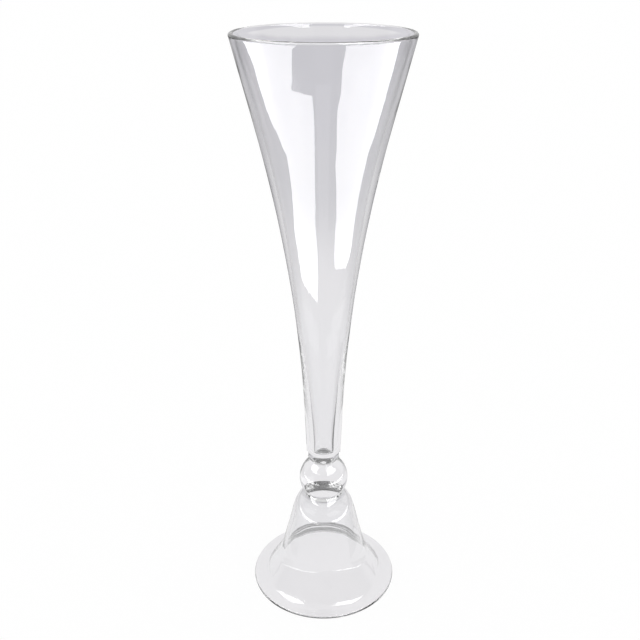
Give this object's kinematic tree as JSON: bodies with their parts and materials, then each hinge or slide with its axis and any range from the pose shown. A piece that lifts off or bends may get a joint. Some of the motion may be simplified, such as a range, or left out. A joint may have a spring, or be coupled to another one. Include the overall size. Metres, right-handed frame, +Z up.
{
  "type": "trumpet vase",
  "caption": "Tall clear glass trumpet vase: a flared blown bowl on a solid glass ball and an open bell-shaped foot.",
  "frame": {"origin": "centre of the ring that the foot stands on, in the plane of the table", "axes": "+Z up along the axis of the vase; X and Y lie anywhere, because the vase is round"},
  "size_m": [0.1679, 0.168, 0.6],
  "materials": {
    "clear_glass": "polished"
  },
  "bodies": {
    "root": {"trumpet_bowl": "clear_glass", "ball_knop": "clear_glass", "bell_foot": "clear_glass"}
  },
  "joints": []
}
